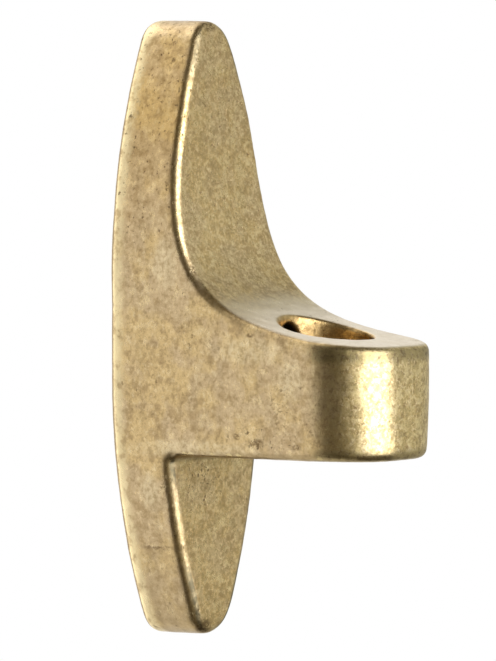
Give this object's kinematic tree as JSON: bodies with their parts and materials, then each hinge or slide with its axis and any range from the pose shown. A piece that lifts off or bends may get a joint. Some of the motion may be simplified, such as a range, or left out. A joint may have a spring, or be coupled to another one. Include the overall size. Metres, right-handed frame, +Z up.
{
  "type": "sash lift handle",
  "caption": "Cast brass sash lift: pointed oval plate, round-nosed lug with flat finger rest and upright pole eye, held by a countersunk screw from behind.",
  "frame": {"origin": "where the fixing screw's axis meets the flat back of the plate", "axes": "+Z up as fitted, +X across the sash, the lug stands out along -Y and the sash is behind on +Y"},
  "size_m": [0.0194, 0.0424, 0.076],
  "materials": {
    "aged_cast_brass": "tumbled casting, dull, mottled by age, edges rubbed bright",
    "turned_brass": "turned and threaded, slightly tarnished"
  },
  "bodies": {
    "lift": {"lift_casting": "aged_cast_brass"},
    "screw": {"fixing_screw": "turned_brass"}
  },
  "joints": [
    {"name": "screw_turn", "type": "hinge", "parent": "lift", "child": "screw", "pos_m": [0, 0, 0], "axis": [0, 1, 0], "continuous": true}
  ]
}
